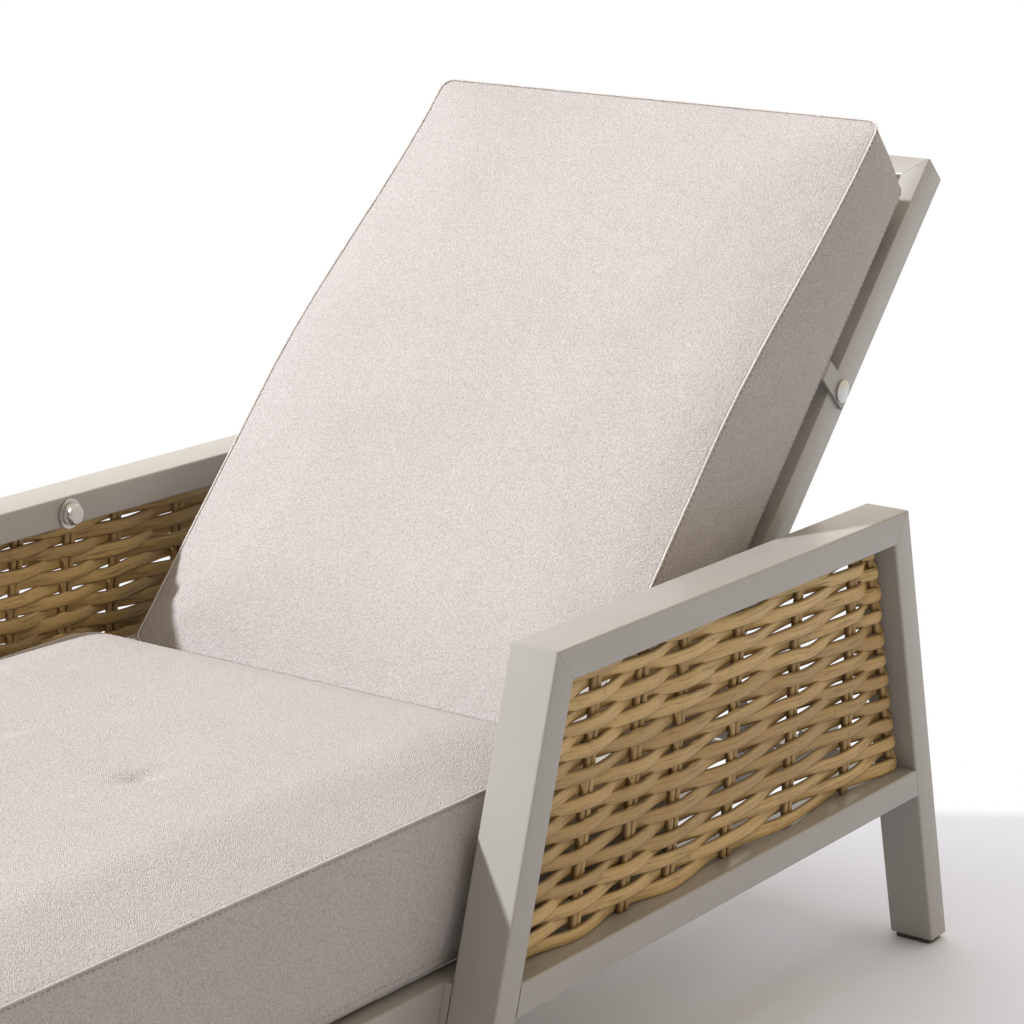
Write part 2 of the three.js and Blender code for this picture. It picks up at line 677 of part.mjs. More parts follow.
// ---- assembly ----
const lounger = new THREE.Group();
lounger.name = 'lounger';
baseFrame(lounger);
for (const [side, sign] of [['left', 1], ['right', -1]]) {
  armFrame(lounger, side, sign);
  armBolt(lounger, side, sign);
  glide(lounger, `front_glide_${side}`, sign * ARM_CENTRE, legFront(GLIDE_HEIGHT) + LEG_RUN / 2);
  glide(lounger, `rear_glide_${side}`, sign * ARM_CENTRE, legRear(GLIDE_HEIGHT) - LEG_RUN / 2);
  bracket(lounger, `front_bracket_${side}`, sign, legFront, 1);
  bracket(lounger, `rear_bracket_${side}`, sign, legRear, -1);
  hingeBlock(lounger, side, sign);
  rack(lounger, side, sign);
}
seatCushion(lounger);

const backrest = new THREE.Group();
backrest.position.set(0, HINGE.y, HINGE.z);
backrest.rotation.x = RECLINE;
lounger.add(backrest);
backFrame(backrest);
backStrap(backrest);
backCushion(backrest);
for (const [side, sign] of [['left', 1], ['right', -1]]) {
  pin(backrest, `prop_pin_${side}`, sign, {
    radius: PROP_PIN_RADIUS,
    head: PROP_ARM.outer - PROP_ARM.thickness - JOINT_GAP,
    end: BACK_HALF_WIDTH - BACK_RAIL.width + PROP_PIN_REACH,
    y: PROP_LENGTH,
    z: 0,
  });
}
prop(lounger);

export default lounger;
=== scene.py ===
"""Looks of the reclining sun lounger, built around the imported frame. Metres, +Z up."""

import json
import math
import random

import bpy
import numpy as np
from mathutils import Matrix, Vector, noise

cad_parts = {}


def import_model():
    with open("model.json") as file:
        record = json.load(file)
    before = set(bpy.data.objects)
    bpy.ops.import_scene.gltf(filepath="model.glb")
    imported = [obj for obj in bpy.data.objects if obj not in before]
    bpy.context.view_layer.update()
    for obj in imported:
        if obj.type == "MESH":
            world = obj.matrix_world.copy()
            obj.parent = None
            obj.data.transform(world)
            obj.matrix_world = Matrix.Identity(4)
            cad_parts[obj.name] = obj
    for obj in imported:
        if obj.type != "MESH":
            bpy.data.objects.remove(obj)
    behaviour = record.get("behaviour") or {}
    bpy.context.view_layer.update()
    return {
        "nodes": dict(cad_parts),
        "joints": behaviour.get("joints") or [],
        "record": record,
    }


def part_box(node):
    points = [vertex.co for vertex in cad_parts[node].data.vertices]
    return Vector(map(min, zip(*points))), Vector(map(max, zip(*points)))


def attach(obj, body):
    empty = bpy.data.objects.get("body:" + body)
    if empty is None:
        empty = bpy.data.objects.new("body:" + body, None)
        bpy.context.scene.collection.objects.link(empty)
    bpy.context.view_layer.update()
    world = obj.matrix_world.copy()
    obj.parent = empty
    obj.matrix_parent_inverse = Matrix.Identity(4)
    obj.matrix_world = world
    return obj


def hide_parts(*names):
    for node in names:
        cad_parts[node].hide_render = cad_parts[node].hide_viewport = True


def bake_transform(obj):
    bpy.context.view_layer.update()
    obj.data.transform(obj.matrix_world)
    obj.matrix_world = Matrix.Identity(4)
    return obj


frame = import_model()

MM = 0.001
SIDES = {"left": 1, "right": -1}  # the sitter's left is +X

# ---- what the frame gives ----
recline_joint = next(j for j in frame["joints"] if j["name"] == "backrest_recline")
HINGE = Vector(recline_joint["pos_m"])
RECLINE = math.radians(-recline_joint["range_deg"][0])
ALONG_BACK = Vector((0, math.cos(RECLINE), math.sin(RECLINE)))
OFF_BACK = Vector((0, -math.sin(RECLINE), math.cos(RECLINE)))
LEG_LEAN = math.tan(math.radians(15.28))


def on_back(x, s, d):
    """A point of the raised backrest: s along its rails from the hinge, d in front of the hinge."""
    return Vector((x, 0, 0)) + Vector((0, HINGE.y, HINGE.z)) + ALONG_BACK * s + OFF_BACK * d


# ---- meshes ----
def add_piece(name, vertices, faces, material, smooth=True):
    mesh = bpy.data.meshes.new(name)
    mesh.from_pydata([tuple(v) for v in vertices], [], faces)
    mesh.validate()
    mesh.update()
    if smooth:
        mesh.shade_smooth()
    piece = bpy.data.objects.new(name, mesh)
    bpy.context.scene.collection.objects.link(piece)
    piece.data.materials.append(material)
    return piece


def unit(vectors):
    return vectors / np.maximum(np.linalg.norm(vectors, axis=-1, keepdims=True), 1e-12)


def tangents(path, closed):
    if closed:
        return unit(np.roll(path, -1, 0) - np.roll(path, 1, 0))
    return unit(np.gradient(path, axis=0))


class Sweeps:
    """Tubes with an oval section, gathered into one mesh. u of a tube's uv runs along it."""

    def __init__(self):
        self.vertices, self.faces, self.uvs, self.tones = [], [], [], []

    def add(self, path, out, across, through, sides=10, closed=False, tone=0.5, flat=1.0):
        """out is the direction of the section's thin axis; across and through are half sizes."""
        path = np.asarray(path, float)
        count = len(path)
        along = tangents(path, closed)
        wide = unit(np.cross(along, np.broadcast_to(out, path.shape)))
        thin = np.cross(wide, along)
        across = np.broadcast_to(across, count)[:, None]
        through = np.broadcast_to(through, count)[:, None]
        start = len(self.vertices)
        length = np.concatenate([[0], np.cumsum(np.linalg.norm(np.diff(path, axis=0), axis=1))])
        for side in range(sides):
            turn = 2 * math.pi * side / sides
            c, s = math.cos(turn), math.sin(turn)
            c = math.copysign(abs(c) ** flat, c)
            s = math.copysign(abs(s) ** flat, s)
            ring = path + wide * across * c + thin * through * s
            self.vertices.extend(ring)
        self.tones.extend([tone] * (count * sides))
        rows = count if closed else count - 1
        for side in range(sides):
            after = (side + 1) % sides
            for row in range(rows):
                nxt = (row + 1) % count
                a, b = start + side * count, start + after * count
                self.faces.append((a + row, a + nxt, b + nxt, b + row))
                u0, u1 = length[row], length[row] + np.linalg.norm(path[nxt] - path[row])
                v0, v1 = side / sides, (side + 1) / sides
                self.uvs.extend([(u0, v0), (u1, v0), (u1, v1), (u0, v1)])
        if not closed:
            first = [start + side * count for side in range(sides)]
            last = [start + side * count + count - 1 for side in range(sides)]
            self.faces.append(tuple(first))
            self.faces.append(tuple(reversed(last)))
            self.uvs.extend([(0, 0)] * sides + [(length[-1], 0)] * sides)

    def piece(self, name, material):
        made = add_piece(name, self.vertices, self.faces, material)
        made.data.uv_layers.new(name="strand")
        made.data.uv_layers["strand"].data.foreach_set("uv", np.array(self.uvs, np.float32).ravel())
        tone = made.data.attributes.new("tone", "FLOAT", "POINT")
        tone.data.foreach_set("value", np.array(self.tones, np.float32))
        return made


# ---- shader nodes ----
class Shader:
    """A Principled material and short calls that add nodes in front of it."""

    def __init__(self, name, **sockets):
        self.material = bpy.data.materials.new(name)
        self.material.use_nodes = True
        self.tree = self.material.node_tree
        self.surface = self.tree.nodes["Principled BSDF"]
        for socket, value in sockets.items():
            self.surface.inputs[socket.replace("_", " ")].default_value = value

    def node(self, kind, inputs=(), **options):
        made = self.tree.nodes.new("ShaderNode" + kind)
        for option, value in options.items():
            setattr(made, option, value)
        for socket, value in dict(inputs).items():
            self.plug(made.inputs[socket], value)
        return made

    def plug(self, socket, value):
        if isinstance(value, bpy.types.NodeSocket):
            self.tree.links.new(value, socket)
        else:
            socket.default_value = value

    def set(self, socket, value):
        self.plug(self.surface.inputs[socket], value)

    def math(self, operation, a, b=0.0):
        return self.node("Math", {0: a, 1: b}, operation=operation).outputs[0]

    def noise(self, vector, scale, detail=2.0, roughness=0.5, distortion=0.0):
        inputs = {"Vector": vector, "Scale": scale, "Detail": detail,
                  "Roughness": roughness, "Distortion": distortion}
        return self.node("TexNoise", inputs).outputs["Fac"]

    def stretched(self, vector, scale):
        return self.node("Mapping", {"Vector": vector, "Scale": scale}).outputs[0]

    def between(self, factor, low, high):
        """factor 0..1 remapped to low..high."""
        inputs = {"Value": factor, "To Min": low, "To Max": high}
        return self.node("MapRange", inputs).outputs[0]

    def step(self, value, low, high):
        inputs = {"Value": value, "From Min": low, "From Max": high}
        return self.node("MapRange", inputs, interpolation_type="SMOOTHSTEP").outputs[0]

    def blend(self, factor, a, b):
        made = self.node("Mix", data_type="RGBA")
        colours = [s for s in made.inputs if s.type == "RGBA"]
        self.plug(made.inputs[0], factor)
        self.plug(colours[0], a)
        self.plug(colours[1], b)
        return next(s for s in made.outputs if s.type == "RGBA")

    def bump(self, height, distance, strength=1.0, normal=None):
        inputs = {"Height": height, "Distance": distance, "Strength": strength}
        if normal is not None:
            inputs["Normal"] = normal
        return self.node("Bump", inputs).outputs[0]

    def object_place(self):
        return self.node("TexCoord").outputs["Object"]

    def stored(self, name, output="Vector"):
        return self.node("Attribute", attribute_name=name).outputs[output]


def rgb(red, green, blue):
    return (red, green, blue, 1.0)


def edge_wear(shader, radius, low, high):
    """1 along sharp edges, 0 on flat faces."""
    soft = shader.node("Bevel", {"Radius": radius}, samples=6).outputs[0]
    hard = shader.node("NewGeometry").outputs["Normal"]
    alike = shader.node("VectorMath", {0: soft, 1: hard}, operation="DOT_PRODUCT").outputs["Value"]
    return shader.step(shader.math("SUBTRACT", 1.0, alike), low, high)


# ---- materials ----
TUFTS_PER_METRE = 560
PAINT = rgb(0.328, 0.313, 0.291)
PAINT_WORN = rgb(0.50, 0.485, 0.46)
FABRIC_LIGHT = rgb(0.585, 0.552, 0.55)
FABRIC_DARK = rgb(0.38, 0.35, 0.337)
# pale piping, made lighter still as a painted highlight along the raised welt
PIPING = rgb(0.68, 0.645, 0.62)
STRAW = rgb(0.40, 0.262, 0.10)
STRAW_PALE = rgb(0.58, 0.40, 0.165)
STRAW_DARK = rgb(0.15, 0.09, 0.035)


def paint_material():
    shader = Shader("powder_coat", Roughness=0.4, Coat_Weight=0.5, Coat_Roughness=0.22)
    place = shader.object_place()
    cloud = shader.noise(place, 14, 3)
    shade = shader.blend(cloud, rgb(*[c * 0.96 for c in PAINT[:3]]), rgb(*[c * 1.05 for c in PAINT[:3]]))
    wear = edge_wear(shader, 1.2 * MM, 0.02, 0.22)
    shader.set("Base Color", shader.blend(shader.math("MULTIPLY", wear, 0.55), shade, PAINT_WORN))
    shader.set("Roughness", shader.between(shader.noise(place, 60, 3), 0.38, 0.5))
    peel = shader.noise(place, 900, 2)
    soft = shader.node("Bevel", {"Radius": 0.6 * MM}, samples=4).outputs[0]
    shader.set("Normal", shader.bump(peel, 0.06 * MM, 0.5, soft))
    return shader.material


def fabric_material(name, light, dark):
    """Chenille: short raised tufts in twill lines whose direction changes in soft patches."""
    shader = Shader(name, Roughness=0.95, Sheen_Weight=0.12, Sheen_Roughness=0.5)
    place = shader.stored("cloth")
    split = shader.node("SeparateXYZ", {0: place})
    u, v, h = (split.outputs[axis] for axis in "XYZ")
    wander = shader.math("MULTIPLY", shader.noise(place, 240, 2), 5 * MM)
    rising = shader.math("ADD", shader.math("ADD", u, v), shader.math("ADD", h, wander))
    falling = shader.math("ADD", shader.math("SUBTRACT", u, v), shader.math("ADD", h, wander))
    rib = 2 * math.pi / (2.5 * MM)
    ribs_up = shader.math("SINE", shader.math("MULTIPLY", rising, rib))
    ribs_down = shader.math("SINE", shader.math("MULTIPLY", falling, rib))
    patches = shader.step(shader.noise(place, 40, 3), 0.42, 0.58)
    up_part = shader.math("MULTIPLY", ribs_up, patches)
    down_part = shader.math("MULTIPLY", ribs_down, shader.math("SUBTRACT", 1.0, patches))
    ribs = shader.between(shader.math("ADD", up_part, down_part), 0.5, 1.0)
    cells = shader.node("TexVoronoi", {"Vector": place, "Scale": TUFTS_PER_METRE},
                        feature="SMOOTH_F1").outputs["Distance"]
    pebbles = shader.math("SUBTRACT", 1.0, cells)
    yarn = shader.noise(place, 1100, 3, 0.65)
    raised = shader.math("ADD", pebbles, shader.math("MULTIPLY", yarn, 0.6))
    height = shader.math("ADD", raised, shader.math("MULTIPLY", ribs, 0.8))
    fleck = shader.step(height, 1.0, 2.0)
    tone = shader.blend(fleck, dark, light)
    cloud = shader.between(shader.noise(place, 9, 3), 0.95, 1.05)
    mottle = shader.between(shader.noise(place, 65, 3, 0.6), 0.96, 1.04)
    value = shader.math("MULTIPLY", cloud, mottle)
    shade = shader.node("HueSaturation", {"Color": tone, "Value": value}).outputs[0]
    shader.set("Base Color", shade)
    shader.set("Normal", shader.bump(height, 0.8 * MM, 0.9))
    return shader.material


def straw_material():
    """Round synthetic rattan: streaks along each strand, and painted shade that darkens it towards its two
    edges, where the strands meet.
    """
    shader = Shader("rattan", Roughness=0.5)
    along = shader.node("UVMap", uv_map="strand").outputs[0]
    tone = shader.stored("tone", "Fac")
    place = shader.object_place()
    grain = shader.noise(shader.stretched(along, (13, 9, 1)), 1.0, 4, 0.6)
    fine = shader.noise(shader.stretched(along, (20, 19, 1)), 1.0, 3, 0.7)
    blotch = shader.noise(place, 42, 3)
    pale = shader.math("MULTIPLY", shader.math("ADD", grain, tone), 0.5)
    shade = shader.blend(shader.step(pale, 0.3, 0.72), STRAW, STRAW_PALE)
    streak = shader.step(fine, 0.5, 0.72)
    shade = shader.blend(shader.math("MULTIPLY", streak, 0.7), shade, STRAW_DARK)
    shade = shader.blend(shader.math("MULTIPLY", shader.step(blotch, 0.58, 0.8), 0.35), shade, STRAW_DARK)
    # painted shade: each strand is darkened towards its two edges, standing in for the shade between
    # neighbouring strands
    around = shader.node("SeparateXYZ", {0: along}).outputs["Y"]
    rim = shader.math("ABSOLUTE", shader.math("COSINE", shader.math("MULTIPLY", around, 2 * math.pi)))
    shade = shader.blend(shader.math("MULTIPLY", shader.step(rim, 0.66, 1.0), 0.75), shade, STRAW_DARK)
    shader.set("Base Color", shade)
    shader.set("Roughness", shader.between(fine, 0.42, 0.62))
    grooves = shader.math("ADD", grain, shader.math("MULTIPLY", fine, 0.6))
    shader.set("Normal", shader.bump(grooves, 1.1 * MM, 0.9))
    return shader.material


def steel_material():
    shader = Shader("brushed_steel", Metallic=1.0, Base_Color=rgb(0.60, 0.59, 0.58))
    place = shader.object_place()
    brushed = shader.noise(shader.stretched(place, (40, 1500, 1500)), 1.0, 3)
    shader.set("Roughness", shader.between(brushed, 0.24, 0.42))
    shader.set("Normal", shader.bump(brushed, 0.03 * MM, 0.6))
    return shader.material


def plastic_material():
    shader = Shader("moulded_plastic", Roughness=0.6)
    place = shader.object_place()
    shade = shader.blend(shader.noise(place, 30, 3), rgb(0.05, 0.045, 0.04), rgb(0.085, 0.075, 0.065))
    shader.set("Base Color", shade)
    shader.set("Roughness", shader.between(shader.noise(place, 200, 2), 0.5, 0.7))
    shader.set("Normal", shader.bump(shader.noise(place, 1300, 2), 0.08 * MM, 0.6))
    return shader.material


paint = paint_material()
fabric = fabric_material("cushion_fabric", FABRIC_LIGHT, FABRIC_DARK)
steel = steel_material()
plastic = plastic_material()
straw = straw_material()
SLOT_MATERIALS = {"frame_paint": paint, "cushion_fabric": fabric, "wicker": straw,
                  "steel": steel, "glide_plastic": plastic}


def finish_cad_nodes():
    """Gives each carried-over CAD node its slot's material, and smooth rounded corners."""
    slots = {part["node"]: part["material_slot"] for part in frame["record"]["subparts"]}
    for name, node in frame["nodes"].items():
        node.data.materials.clear()
        node.data.materials.append(SLOT_MATERIALS[slots[name]])
        weld = node.modifiers.new("weld", "WELD")
        weld.merge_threshold = 0.01 * MM
        node.data.shade_smooth()
        smooth = node.modifiers.new("corners", "EDGE_SPLIT")
        smooth.split_angle = math.radians(38)


# ---- cushions ----
SIM_FRAMES = 20
SEAT_PRESSURE = 4.0
SEAT_CAP = 7 * MM  # the furthest that the simulation may move a point
BACK_PRESSURE = 4.0
BACK_CAP = 7 * MM
CROWN_EDGE = 20 * MM  # how far inboard the crown's quick rise reaches
CROWN_REACH = 90 * MM  # and its slow one
BOXING_FADE = 25 * MM  # the boxing's bulge dies out this near a corner
GATHER_REACH = 14 * MM  # how far the gathers run from the seam
GATHERS_PER_METRE = 62
RIPPLE_INSET = 60 * MM
PUCKER = 1.2 * MM


class Cushion:
    """A boxed cushion: a lattice over a box, shaped, inflated and then given its seams.

    u runs across, v along and h through the cushion; place turns them into the row frame."""

    def __init__(self, name, half_width, half_length, height, place, **form):
        self.name = name
        self.half = np.array([half_width, half_length])
        self.height = height
        self.place = place
        self.form = form
        self.us = stations(2 * half_width)
        self.vs = stations(2 * half_length)
        self.hs = heights(height, form["seam_height"])
        self.index, self.corners, self.faces = {}, [], []
        self.make_lattice()
        self.flat = np.array(self.corners)

    def corner(self, i, j, k):
        key = (i, j, k)
        if key not in self.index:
            self.index[key] = len(self.corners)
            self.corners.append((self.us[i], self.vs[j], self.hs[k]))
        return self.index[key]

    def make_lattice(self):
        at = self.corner
        nu, nv, nh = len(self.us) - 1, len(self.vs) - 1, len(self.hs) - 1
        for i in range(nu):
            for j in range(nv):
                self.faces.append((at(i, j, nh), at(i + 1, j, nh), at(i + 1, j + 1, nh), at(i, j + 1, nh)))
                self.faces.append((at(i, j, 0), at(i, j + 1, 0), at(i + 1, j + 1, 0), at(i + 1, j, 0)))
        for k in range(nh):
            for i in range(nu):
                self.faces.append((at(i, 0, k), at(i + 1, 0, k), at(i + 1, 0, k + 1), at(i, 0, k + 1)))
                self.faces.append((at(i, nv, k), at(i, nv, k + 1), at(i + 1, nv, k + 1), at(i + 1, nv, k)))
            for j in range(nv):
                self.faces.append((at(nu, j, k), at(nu, j + 1, k), at(nu, j + 1, k + 1), at(nu, j, k + 1)))
                self.faces.append((at(0, j, k), at(0, j, k + 1), at(0, j + 1, k + 1), at(0, j + 1, k)))

    def rim(self, k):
        """Vertex numbers once round the cushion at one height."""
        nu, nv = len(self.us) - 1, len(self.vs) - 1
        loop = [(i, 0) for i in range(nu)] + [(nu, j) for j in range(nv)]
        loop += [(i, nv) for i in range(nu, 0, -1)] + [(0, j) for j in range(nv, 0, -1)]
        return [self.index[(i, j, k)] for i, j in loop]

    def edge_distance(self):
        """How far each lattice point is inboard of the sides and of the ends."""
        return self.half - np.abs(self.flat[:, :2])

    def shaped(self):
        """The lattice with rounded edges, bulged boxing and a crowned face, in u, v and h."""
        form = self.form
        points = self.flat.copy()
        inboard = self.edge_distance()
        nearest = inboard.min(1)
        h = points[:, 2]
        edge = form["bottom_round"]
        round_it = (nearest < edge) & (h < edge)
        a, b = edge - nearest[round_it], edge - h[round_it]
        keep = np.maximum(a, b) / np.maximum(np.hypot(a, b), 1e-9)
        new_inboard = nearest.copy()
        new_inboard[round_it] = edge - a * keep
        points[round_it, 2] = edge - b * keep
        shrink = (self.half - new_inboard[:, None]) / np.maximum(self.half - nearest[:, None], 1e-9)
        points[:, :2] *= shrink
        corner = form["corner_round"]
        past = np.abs(points[:, :2]) - (self.half - corner)
        both = (past > 0).all(1)
        pull = past[both].max(1) / np.maximum(np.hypot(*past[both].T), 1e-9)
        rounded = (self.half - corner) + past[both] * pull[:, None]
        points[both, :2] = np.sign(points[both, :2]) * rounded
        boxing = nearest < 1e-9
        level = np.clip(h / self.height, 0, 1)
        swell = form["bulge"] * np.sin(math.pi * level) * boxing
        for axis in (0, 1):
            on_side = inboard[:, axis] < 1e-9
            fade = 1 - np.exp(-inboard[:, 1 - axis] / BOXING_FADE)
            points[:, axis] += np.sign(points[:, axis]) * swell * on_side * fade
        face = h > self.height - 1e-9
        points[:, 2] += crown(inboard, *form["crown"]) * face
        return points

    def build(self, material):
        shaped = self.shaped()
        world = [self.place(*p) for p in shaped]
        self.piece = add_piece(self.name, world, self.faces, material)
        cloth = self.piece.data.attributes.new("cloth", "FLOAT_VECTOR", "POINT")
        cloth.data.foreach_set("vector", self.flat.astype(np.float32).ravel())
        return self.piece

    def points(self):
        return read_points(self.piece.data)

    def seam_rows(self):
        """Heights of the two seams: where the boxing meets the face, and low on the boxing."""
        low = int(np.argmin(np.abs(self.hs - self.form["seam_height"])))
        return len(self.hs) - 1, low

    def inflate(self, pressure, cap):
        """Cloth simulation with both seams and the resting face held."""
        top, low = self.seam_rows()
        held = self.flat[:, 2] < self.hs[low] - 1e-9
        held[self.rim(top)] = True
        held[self.rim(low)] = True
        simulate(self.piece, np.flatnonzero(held).tolist(), pressure, cap)

    def move(self, offsets):
        write_points(self.piece.data, self.points() + offsets)

    def pucker(self, depth):
        """Small gathers of the fabric beside the seam at the face's edge."""
        points = self.points()
        inboard = self.edge_distance().min(1)
        below = self.height - self.flat[:, 2]
        away = np.maximum(inboard, below)
        near = np.exp(-away / GATHER_REACH) * (away > 1e-9)
        wave = np.array([noise.noise(Vector(p) * GATHERS_PER_METRE) for p in points])
        self.move(vertex_normals(self.piece.data) * (wave * near * depth)[:, None])


def stations(length, fine=3 * MM, coarse=8 * MM, growth=1.22):
    """Places from -length/2 to length/2, closer together towards both ends."""
    steps, step = [], fine
    while step < coarse and 2 * (sum(steps) + step) < length / 2:
        steps.append(step)
        step *= growth
    middle = length - 2 * sum(steps)
    count = max(1, round(middle / coarse))
    every = steps + [middle / count] * count + steps[::-1]
    return np.concatenate([[0], np.cumsum(every)]) - length / 2


def heights(height, seam_height):
    """Places from 0 to height, with one exactly on the lower seam."""
    low = np.linspace(0, seam_height, 5)
    high = stations(height - seam_height, coarse=7 * MM) + (height + seam_height) / 2
    return np.concatenate([low, high[1:]])


def crown(inboard, steep, gentle):
    """Height of a stuffed face over its seam: a quick rise at the edge, then a slow one."""
    quick = np.prod(1 - np.exp(-inboard / CROWN_EDGE), axis=1)
    slow = np.prod(1 - np.exp(-inboard / CROWN_REACH), axis=1)
    return steep * quick + gentle * slow


def read_points(mesh):
    points = np.empty(len(mesh.vertices) * 3, np.float32)
    mesh.vertices.foreach_get("co", points)
    return points.reshape(-1, 3).astype(float)


def write_points(mesh, points):
    mesh.vertices.foreach_set("co", np.asarray(points, np.float32).ravel())
    mesh.update()


def vertex_normals(mesh):
    normals = np.empty(len(mesh.vertices) * 3, np.float32)
    mesh.vertex_normals.foreach_get("vector", normals)
    return normals.reshape(-1, 3).astype(float)


def simulate(piece, held, pressure, cap):
    """Inflates piece with Blender's Cloth; no point moves further than cap."""
    group = piece.vertex_groups.new(name="held")
    group.add(held, 1.0, "REPLACE")
    cloth = piece.modifiers.new("cloth", "CLOTH")
    settings = cloth.settings
    settings.quality = 6
    settings.mass = 0.3
    settings.tension_stiffness = 12
    settings.compression_stiffness = 12
    settings.shear_stiffness = 6
    settings.bending_stiffness = 0.8
    settings.use_pressure = True
    settings.uniform_pressure_force = pressure
    settings.effector_weights.gravity = 0
    settings.vertex_group_mass = "held"
    cloth.point_cache.frame_start = 1
    cloth.point_cache.frame_end = SIM_FRAMES
    scene = bpy.context.scene
    for number in range(1, SIM_FRAMES + 1):
        scene.frame_set(number)
    evaluated = piece.evaluated_get(bpy.context.evaluated_depsgraph_get())
    before, after = read_points(piece.data), read_points(evaluated.data)
    piece.modifiers.remove(cloth)
    piece.vertex_groups.remove(group)
    scene.frame_set(1)
    moved = after - before
    size = np.linalg.norm(moved, axis=1, keepdims=True)
    write_points(piece.data, before + moved * np.minimum(1, cap / np.maximum(size, 1e-9)))
    print("cloth", piece.name, "moved up to", round(float(size.max()) / MM, 1), "mm, mean",
          round(float(size.mean()) / MM, 1))


# seat cushion
SEAT_SEAM_HALF_WIDTH = 302 * MM
SEAT_SEAM_Z = 363.5 * MM
SEAT_REAR_SLANT = 38 * MM  # the rear end leans back by this much from bottom to top
seat_low, seat_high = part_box("seat_cushion")
SEAT_THICKNESS = SEAT_SEAM_Z - seat_low.z
SEAT_HALF_LENGTH = (seat_high.y - seat_low.y) / 2
GROOVE = 38 * MM  # width of the dip in front of the backrest cushion
GROOVE_RISE = 50 * MM  # the seat rises by this much in front of the dip
GROOVE_RUN = 23 * MM
GROOVE_DEPTH = 9 * MM  # the dip's bottom lies this far below the backrest cushion's foot
GROOVE_SOFTNESS = 5 * MM
TUFTS = [(x, y) for y in (-0.214, -0.60) for x in (0.088, -0.088)]
FOLD = {"half_length": 50 * MM, "half_width": 12 * MM, "slant": 0.25, "depth": 7 * MM}
DISH = {"radius": 62 * MM, "depth": 9 * MM}
TUFT_HOLE = {"radius": 9 * MM, "depth": 4 * MM}

# backrest cushion, in s and d
BACK_HALF_WIDTH = 273.5 * MM
BACK_REAR = 47 * MM
BACK_FRONT = 185 * MM  # at the lower end; the upper end is pinched
BACK_FRONT_HIGH = 145 * MM
BACK_PINCH = 430 * MM  # the length over which it thins
BACK_LOW = {"rear": 150 * MM, "front": 12 * MM}
BACK_HIGH = {"rear": 745 * MM, "front": 760 * MM}
BACK_HALF_LENGTH = (BACK_HIGH["front"] - BACK_LOW["front"]) / 2


def seat_place(u, v, h):
    share = (v + SEAT_HALF_LENGTH) / (2 * SEAT_HALF_LENGTH)
    rear = seat_high.y - SEAT_REAR_SLANT * (1 - min(h / SEAT_THICKNESS, 1))
    return Vector((u, seat_low.y + share * (rear - seat_low.y), seat_low.z + h))


def back_place(u, v, h):
    share = (v + BACK_HALF_LENGTH) / (2 * BACK_HALF_LENGTH)
    level = min(max(h / (BACK_FRONT - BACK_REAR), 0), 1)
    low = BACK_LOW["rear"] + level * (BACK_LOW["front"] - BACK_LOW["rear"])
    high = BACK_HIGH["rear"] + level * (BACK_HIGH["front"] - BACK_HIGH["rear"])
    s = low + share * (high - low)
    pinch = min(max((BACK_HIGH["front"] - s) / BACK_PINCH, 0), 1)
    front = BACK_FRONT_HIGH + (BACK_FRONT - BACK_FRONT_HIGH) * pinch * pinch * (3 - 2 * pinch)
    thickness = BACK_FRONT - BACK_REAR
    d = BACK_REAR + level * (front - BACK_REAR) + (h - min(max(h, 0), thickness))
    return on_back(u, s, d)


def smooth_min(a, b, width):
    """The smaller of a and b, with a rounded change of width."""
    share = np.clip(0.5 + 0.5 * (b - a) / width, 0, 1)
    return b + (a - b) * share - width * share * (1 - share)


def press_seat(cushion):
    """The backrest cushion's lower end presses the rear of the seat down."""
    points = cushion.points()
    foot = on_back(0, BACK_LOW["front"], BACK_FRONT)
    heel = on_back(0, BACK_LOW["rear"], BACK_REAR)
    slope = (heel.z - foot.z) / (heel.y - foot.y)
    ahead = np.maximum(foot.y - points[:, 1] - GROOVE, 0)
    behind = np.maximum(points[:, 1] - foot.y, 0)
    rise = GROOVE_RISE * (1 - np.exp(-ahead / GROOVE_RUN))
    pressed = smooth_min(points[:, 2], foot.z - GROOVE_DEPTH + slope * behind + rise, GROOVE_SOFTNESS)
    height = np.maximum(points[:, 2] - seat_low.z, 1e-6)
    share = np.clip(height / SEAT_THICKNESS, 0, 1) ** 2
    points[:, 2] += (pressed - points[:, 2]) * share
    write_points(cushion.piece.data, points)


def tuft_seat(cushion):
    """Tied-down stitches in the seat, each in a shallow fold that runs lengthwise."""
    points = cushion.points()
    on_face = cushion.flat[:, 2] > cushion.height - 1e-9
    drop = np.zeros(len(points))
    for x, y in TUFTS:
        dx, dy = points[:, 0] - x, points[:, 1] - y
        across = (dx - FOLD["slant"] * dy) / FOLD["half_width"]
        drop += FOLD["depth"] * np.exp(-(dy / FOLD["half_length"]) ** 2 - across ** 2)
        for dip in (DISH, TUFT_HOLE):
            drop += dip["depth"] * np.exp(-(dx ** 2 + dy ** 2) / dip["radius"] ** 2)
    points[:, 2] -= drop * on_face
    write_points(cushion.piece.data, points)


def ripple(cushion, size, depth, direction):
    """Slow unevenness of the stuffing under the face."""
    on_face = cushion.flat[:, 2] > cushion.height - 1e-9
    inboard = np.clip(cushion.edge_distance().min(1) / RIPPLE_INSET, 0, 1)
    wave = np.array([noise.noise(Vector(p) / size) for p in cushion.flat])
    cushion.move(np.array(direction)[None, :] * (wave * depth * inboard * on_face)[:, None])


def seam_paths(cushion):
    points = cushion.points()
    top, low = cushion.seam_rows()
    return points[cushion.rim(top)], points[cushion.rim(low)]


def outward(path):
    """Unit vectors from the loop's middle line towards each of its points, in the loop's plane."""
    along = tangents(path, True)
    middle = path.mean(0)
    plane = unit(np.cross(path[0] - middle, path[len(path) // 4] - middle)[None, :])[0]
    side = unit(np.cross(along, plane))
    return side * np.sign(np.sum(side * (path - middle), axis=1, keepdims=True)), plane


